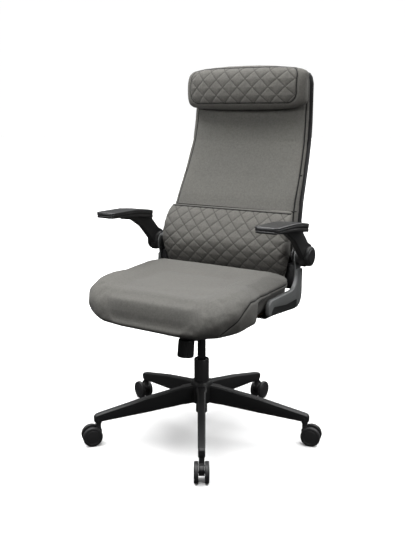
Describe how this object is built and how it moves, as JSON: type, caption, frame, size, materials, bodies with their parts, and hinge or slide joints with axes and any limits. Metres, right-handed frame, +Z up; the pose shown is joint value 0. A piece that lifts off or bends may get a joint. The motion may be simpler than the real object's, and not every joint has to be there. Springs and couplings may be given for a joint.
{
  "type": "gaming chair",
  "caption": "Office-style gaming chair with a tall upholstered back, quilted lumbar pad, head pillow, flip-up arms, gas lift, tilting seat and a star base on twin-wheel casters.",
  "frame": {"origin": "floor level under the middle of the whole chair's footprint", "axes": "+Z up; the chair faces -Y; +X is the sitter's left"},
  "size_m": [0.7799, 0.7544, 1.2096],
  "materials": {
    "moulded_black": "fine grain, satin",
    "bracket_grey": "fine grain, satin",
    "tread_black": "nylon, matt",
    "painted_steel": "black powder coat",
    "bright_steel": "zinc plated",
    "plywood": "raw birch plywood",
    "grey_fabric": "woven polyester over moulded foam",
    "quilted_fabric": "woven polyester, quilted over foam",
    "arm_pad": "soft polyurethane skin"
  },
  "bodies": {
    "base": {"star_base": "moulded_black", "caster_stem_1": "painted_steel", "caster_stem_2": "painted_steel", "caster_stem_3": "painted_steel", "caster_stem_4": "painted_steel", "caster_stem_5": "painted_steel", "column_tube": "painted_steel", "guide_bushing": "moulded_black", "thrust_bearing": "bright_steel"},
    "piston": {"piston_rod": "bright_steel", "retaining_clip": "bright_steel"},
    "mechanism": {"gas_cylinder": "painted_steel", "mechanism_housing": "painted_steel", "tilt_axle": "bright_steel", "tension_spring": "bright_steel"},
    "knob": {"tension_knob": "moulded_black", "tension_bolt": "bright_steel"},
    "valve": {"valve_button": "bright_steel"},
    "lock": {"lock_slider": "bright_steel"},
    "lever": {"height_lever": "painted_steel", "lever_grip": "moulded_black"},
    "seat": {"seat_plate": "painted_steel", "seat_board": "plywood", "seat_cushion": "grey_fabric", "side_bracket_left": "painted_steel", "side_bracket_right": "painted_steel", "bracket_cover_left": "bracket_grey", "bracket_cover_right": "bracket_grey", "back_frame": "moulded_black", "back_panel": "grey_fabric", "lumbar_pad": "quilted_fabric", "head_pillow": "quilted_fabric", "arm_pivot_bolt_left": "bright_steel", "arm_pivot_bolt_right": "bright_steel"},
    "arm_left": {"arm_strut_left": "moulded_black", "arm_pad_base_left": "moulded_black", "arm_pad_left": "arm_pad", "arm_cap_left": "moulded_black"},
    "arm_right": {"arm_strut_right": "moulded_black", "arm_pad_base_right": "moulded_black", "arm_pad_right": "arm_pad", "arm_cap_right": "moulded_black"},
    "caster_1": {"caster_hood_1": "moulded_black"},
    "wheel_1a": {"wheel_1a": "tread_black"},
    "wheel_1b": {"wheel_1b": "tread_black"},
    "caster_2": {"caster_hood_2": "moulded_black"},
    "wheel_2a": {"wheel_2a": "tread_black"},
    "wheel_2b": {"wheel_2b": "tread_black"},
    "caster_3": {"caster_hood_3": "moulded_black"},
    "wheel_3a": {"wheel_3a": "tread_black"},
    "wheel_3b": {"wheel_3b": "tread_black"},
    "caster_4": {"caster_hood_4": "moulded_black"},
    "wheel_4a": {"wheel_4a": "tread_black"},
    "wheel_4b": {"wheel_4b": "tread_black"},
    "caster_5": {"caster_hood_5": "moulded_black"},
    "wheel_5a": {"wheel_5a": "tread_black"},
    "wheel_5b": {"wheel_5b": "tread_black"}
  },
  "joints": [
    {"name": "seat_swivel", "type": "hinge", "parent": "base", "child": "piston", "pos_m": [-0.0055, -0.0273, 0.1], "axis": [0, 0, 1], "continuous": true},
    {"name": "height_slide", "type": "slide", "parent": "piston", "child": "mechanism", "axis": [0, 0, 1], "range_m": [-0.07, 0.02]},
    {"name": "seat_tilt", "type": "hinge", "parent": "mechanism", "child": "seat", "pos_m": [-0.0055, -0.1553, 0.405], "axis": [-1, 0, 0], "range_deg": [0, 12], "stiffness_Nm_per_rad": 110, "springref_deg": -34.38, "deforming": ["tension_spring"]},
    {"name": "tension_turn", "type": "hinge", "parent": "mechanism", "child": "knob", "pos_m": [-0.0055, -0.1143, 0.352], "axis": [0, 0.1219, 0.9925], "range_deg": [-540, 540]},
    {"name": "lock_pull", "type": "slide", "parent": "mechanism", "child": "lock", "axis": [-1, 0, 0], "range_m": [0, 0.012]},
    {"name": "lever_lift", "type": "hinge", "parent": "lock", "child": "lever", "pos_m": [-0.0335, -0.0273, 0.395], "axis": [0, 1, 0], "range_deg": [0, 6], "stiffness_Nm_per_rad": 1, "springref_deg": -11.46},
    {"name": "valve_press", "type": "slide", "parent": "mechanism", "child": "valve", "axis": [0, 0, -1], "range_m": [0, 0.003]},
    {"name": "arm_flip_left", "type": "hinge", "parent": "seat", "child": "arm_left", "pos_m": [0.2945, 0.1297, 0.604], "axis": [-1, 0, 0], "range_deg": [0, 90]},
    {"name": "arm_flip_right", "type": "hinge", "parent": "seat", "child": "arm_right", "pos_m": [-0.3055, 0.1297, 0.604], "axis": [-1, 0, 0], "range_deg": [0, 90]},
    {"name": "caster_swivel_1", "type": "hinge", "parent": "base", "child": "caster_1", "pos_m": [0.18512, -0.32083, 0.06], "axis": [0, 0, 1], "continuous": true},
    {"name": "wheel_spin_1a", "type": "hinge", "parent": "caster_1", "child": "wheel_1a", "pos_m": [0.19711, -0.33929, 0.032], "axis": [0.8387, 0.5446, 0], "continuous": true},
    {"name": "wheel_spin_1b", "type": "hinge", "parent": "caster_1", "child": "wheel_1b", "pos_m": [0.19711, -0.33929, 0.032], "axis": [0.8387, 0.5446, 0], "continuous": true},
    {"name": "caster_swivel_2", "type": "hinge", "parent": "base", "child": "caster_2", "pos_m": [0.33257, 0.06329, 0.06], "axis": [0, 0, 1], "continuous": true},
    {"name": "wheel_spin_2a", "type": "hinge", "parent": "caster_2", "child": "wheel_2a", "pos_m": [0.35382, 0.06898, 0.032], "axis": [-0.2588, 0.9659, 0], "continuous": true},
    {"name": "wheel_spin_2b", "type": "hinge", "parent": "caster_2", "child": "wheel_2b", "pos_m": [0.35382, 0.06898, 0.032], "axis": [-0.2588, 0.9659, 0], "continuous": true},
    {"name": "caster_swivel_3", "type": "hinge", "parent": "base", "child": "caster_3", "pos_m": [0.01282, 0.32222, 0.06], "axis": [0, 0, 1], "continuous": true},
    {"name": "wheel_spin_3a", "type": "hinge", "parent": "caster_3", "child": "wheel_3a", "pos_m": [0.01397, 0.34419, 0.032], "axis": [-0.9986, 0.0523, 0], "continuous": true},
    {"name": "wheel_spin_3b", "type": "hinge", "parent": "caster_3", "child": "wheel_3b", "pos_m": [0.01397, 0.34419, 0.032], "axis": [-0.9986, 0.0523, 0], "continuous": true},
    {"name": "caster_swivel_4", "type": "hinge", "parent": "base", "child": "caster_4", "pos_m": [-0.33225, 0.09813, 0.06], "axis": [0, 0, 1], "continuous": true},
    {"name": "wheel_spin_4a", "type": "hinge", "parent": "caster_4", "child": "wheel_4a", "pos_m": [-0.35279, 0.10601, 0.032], "axis": [-0.3584, -0.9336, 0], "continuous": true},
    {"name": "wheel_spin_4b", "type": "hinge", "parent": "caster_4", "child": "wheel_4b", "pos_m": [-0.35279, 0.10601, 0.032], "axis": [-0.3584, -0.9336, 0], "continuous": true},
    {"name": "caster_swivel_5", "type": "hinge", "parent": "base", "child": "caster_5", "pos_m": [-0.22576, -0.2993, 0.06], "axis": [0, 0, 1], "continuous": true},
    {"name": "wheel_spin_5a", "type": "hinge", "parent": "caster_5", "child": "wheel_5a", "pos_m": [-0.23961, -0.3164, 0.032], "axis": [0.7771, -0.6293, 0], "continuous": true},
    {"name": "wheel_spin_5b", "type": "hinge", "parent": "caster_5", "child": "wheel_5b", "pos_m": [-0.23961, -0.3164, 0.032], "axis": [0.7771, -0.6293, 0], "continuous": true}
  ],
  "couplings": [
    {"joint": "valve_press", "follows": "lever_lift", "m_per_rad": 0.028}
  ]
}
